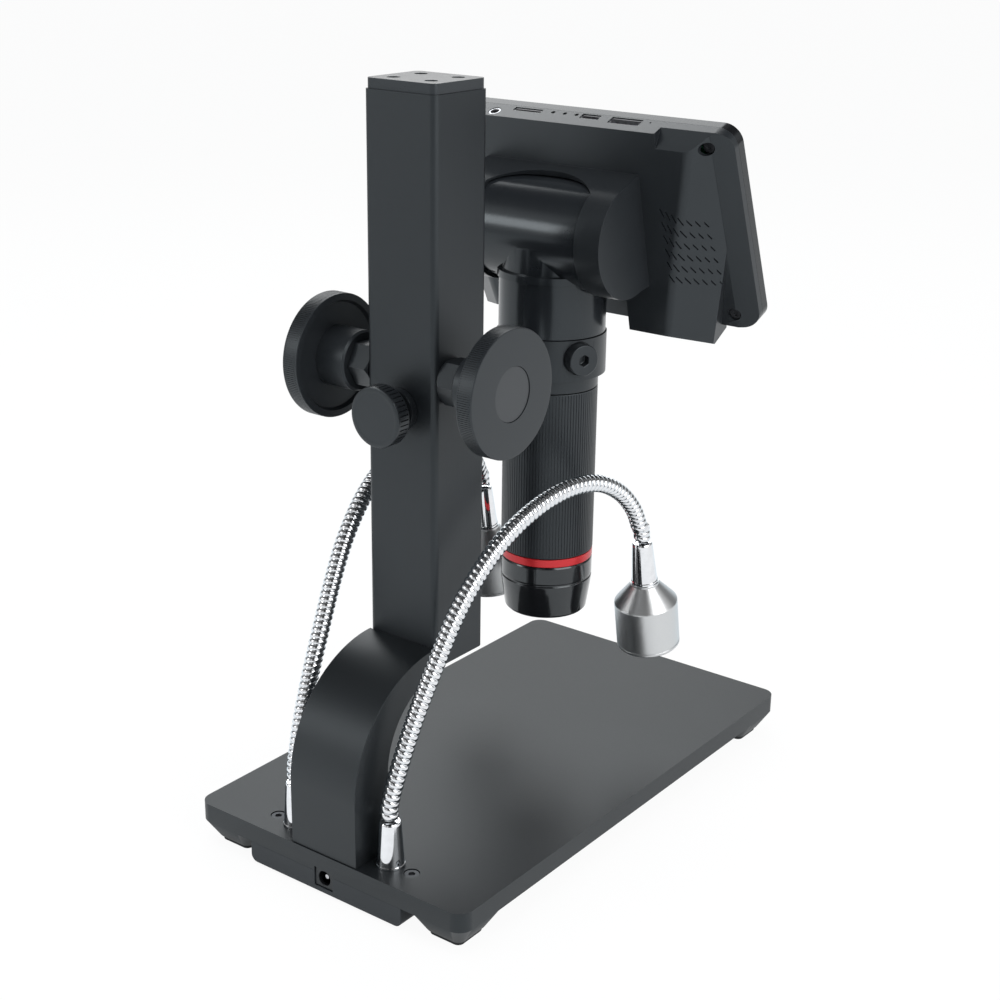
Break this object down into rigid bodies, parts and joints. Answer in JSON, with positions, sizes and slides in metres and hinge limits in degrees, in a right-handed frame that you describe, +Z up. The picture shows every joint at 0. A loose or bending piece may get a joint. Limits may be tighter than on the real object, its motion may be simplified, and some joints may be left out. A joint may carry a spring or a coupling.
{
  "type": "digital microscope",
  "caption": "Digital microscope on a stage stand: rack-focus column, tilting screen housing, ribbed barrel with a red ring, and gooseneck lamps with bell heads.",
  "frame": {"origin": "on the ground under the middle of the stage plate and of the whole object's box", "axes": "+Z up, +Y towards the column and the power inlet, -Y towards the side the screen faces, X across"},
  "size_m": [0.15, 0.232, 0.3018],
  "materials": {
    "stage_coat": "fine satin anodised coat",
    "column_coat": "satin anodised aluminium",
    "black_alloy": "black anodised, turned",
    "pad_rubber": "matt",
    "box_plastic": "fine grain",
    "housing_plastic": "fine grain with a soft sheen",
    "frame_plastic": "gloss",
    "dark_plastic": "matt",
    "grip_alloy": "black anodised, finely ribbed",
    "inlay_alloy": "satin",
    "red_anodise": "red anodised, satin",
    "chrome_plate": "polished",
    "lamp_steel": "fine brushed",
    "bright_steel": "turned",
    "dark_screw": "blackened",
    "circuit_board": "coated board",
    "clear_glass": "coated",
    "display_glass": "smoked",
    "display": "dark panel",
    "cell_wrap": "film",
    "socket_metal": "stamped"
  },
  "bodies": {
    "stand": {"stage_plate": "stage_coat", "foot_pads": "pad_rubber", "supply_box": "box_plastic", "base_screws": "dark_screw", "dc_jack": "dark_plastic", "dc_pin": "bright_steel", "lamp_driver": "circuit_board", "bracket": "stage_coat", "bracket_bolts": "dark_screw", "column": "column_coat", "column_plug": "black_alloy", "column_cap": "box_plastic", "cap_screws": "dark_screw", "shaft_bush_left": "black_alloy", "shaft_bush_right": "black_alloy", "lock_bush": "black_alloy", "lamp_socket_left": "chrome_plate", "lamp_socket_right": "chrome_plate"},
    "carriage": {"slider": "black_alloy", "rack": "bright_steel", "holder_arm": "column_coat"},
    "clamp": {"clamp_screw": "dark_screw"},
    "focus_drive": {"pinion_shaft": "bright_steel", "focus_knob_left": "black_alloy", "focus_knob_right": "black_alloy", "knob_inlays": "inlay_alloy"},
    "lock": {"lock_knob": "black_alloy", "lock_stud": "bright_steel"},
    "microscope": {"head_housing": "housing_plastic", "retaining_ring": "black_alloy", "lens_barrel": "black_alloy", "imaging_board": "circuit_board", "objective_lens": "clear_glass", "red_ring": "red_anodise", "nose": "black_alloy", "front_window": "clear_glass"},
    "grip": {"focus_grip": "grip_alloy"},
    "screen": {"rear_cover": "housing_plastic", "pivot_pin": "bright_steel", "front_frame": "frame_plastic", "screen_glass": "display_glass", "lcd_panel": "display", "main_board": "circuit_board", "port_sockets": "socket_metal", "battery": "cell_wrap", "speaker": "dark_plastic", "cover_screws": "dark_screw"},
    "lamp_left": {"gooseneck_left": "chrome_plate", "lamp_sleeve_left": "chrome_plate", "lamp_shell_left": "lamp_steel", "lamp_lens_left": "clear_glass"},
    "lamp_right": {"gooseneck_right": "chrome_plate", "lamp_sleeve_right": "chrome_plate", "lamp_shell_right": "lamp_steel", "lamp_lens_right": "clear_glass"},
    "key_1": {"button_1": "dark_plastic"},
    "key_2": {"button_2": "dark_plastic"},
    "key_3": {"button_3": "dark_plastic"},
    "key_4": {"button_4": "dark_plastic"},
    "key_5": {"button_5": "dark_plastic"}
  },
  "joints": [
    {"name": "focus_slide", "type": "slide", "parent": "stand", "child": "carriage", "axis": [0, 0, 1], "range_m": [-0.04, 0.04]},
    {"name": "focus_knobs_turn", "type": "hinge", "parent": "stand", "child": "focus_drive", "pos_m": [0, 0.0599, 0.1957], "axis": [1, 0, 0], "range_deg": [-800, 800]},
    {"name": "lock_turn", "type": "hinge", "parent": "stand", "child": "lock", "pos_m": [0, 0.0687, 0.1838], "axis": [0, 1, 0], "range_deg": [0, 360]},
    {"name": "clamp_turn", "type": "hinge", "parent": "carriage", "child": "clamp", "pos_m": [-0.02402, -0.0153, 0.18855], "axis": [-0.9063, 0.4226, 0], "range_deg": [0, 360]},
    {"name": "microscope_swivel", "type": "hinge", "parent": "carriage", "child": "microscope", "pos_m": [0, -0.0265, 0.1792], "axis": [0, 0, 1], "range_deg": [-30, 30]},
    {"name": "grip_turn", "type": "hinge", "parent": "microscope", "child": "grip", "pos_m": [0, -0.0265, 0.1021], "axis": [0, 0, 1], "range_deg": [-135, 135]},
    {"name": "screen_tilt", "type": "hinge", "parent": "microscope", "child": "screen", "pos_m": [0, -0.0265, 0.2357], "axis": [1, 0, 0], "range_deg": [-25, 10]},
    {"name": "lamp_left_swing", "type": "hinge", "parent": "stand", "child": "lamp_left", "pos_m": [-0.0239, 0.1044, 0.0366], "axis": [0, 0, 1], "range_deg": [-40, 3]},
    {"name": "lamp_right_swing", "type": "hinge", "parent": "stand", "child": "lamp_right", "pos_m": [0.0239, 0.1044, 0.0366], "axis": [0, 0, 1], "range_deg": [-3, 40]},
    {"name": "key_1_press", "type": "slide", "parent": "screen", "child": "key_1", "axis": [0, 0.9272, -0.3746], "range_m": [0, 0.0008], "stiffness_N_per_m": 300, "springref_m": -0.0002},
    {"name": "key_2_press", "type": "slide", "parent": "screen", "child": "key_2", "axis": [0, 0.9272, -0.3746], "range_m": [0, 0.0008], "stiffness_N_per_m": 300, "springref_m": -0.0002},
    {"name": "key_3_press", "type": "slide", "parent": "screen", "child": "key_3", "axis": [0, 0.9272, -0.3746], "range_m": [0, 0.0008], "stiffness_N_per_m": 300, "springref_m": -0.0002},
    {"name": "key_4_press", "type": "slide", "parent": "screen", "child": "key_4", "axis": [0, 0.9272, -0.3746], "range_m": [0, 0.0008], "stiffness_N_per_m": 300, "springref_m": -0.0002},
    {"name": "key_5_press", "type": "slide", "parent": "screen", "child": "key_5", "axis": [0, 0.9272, -0.3746], "range_m": [0, 0.0008], "stiffness_N_per_m": 300, "springref_m": -0.0002}
  ],
  "couplings": [
    {"joint": "focus_knobs_turn", "follows": "focus_slide", "rad_per_m": -333.33}
  ]
}
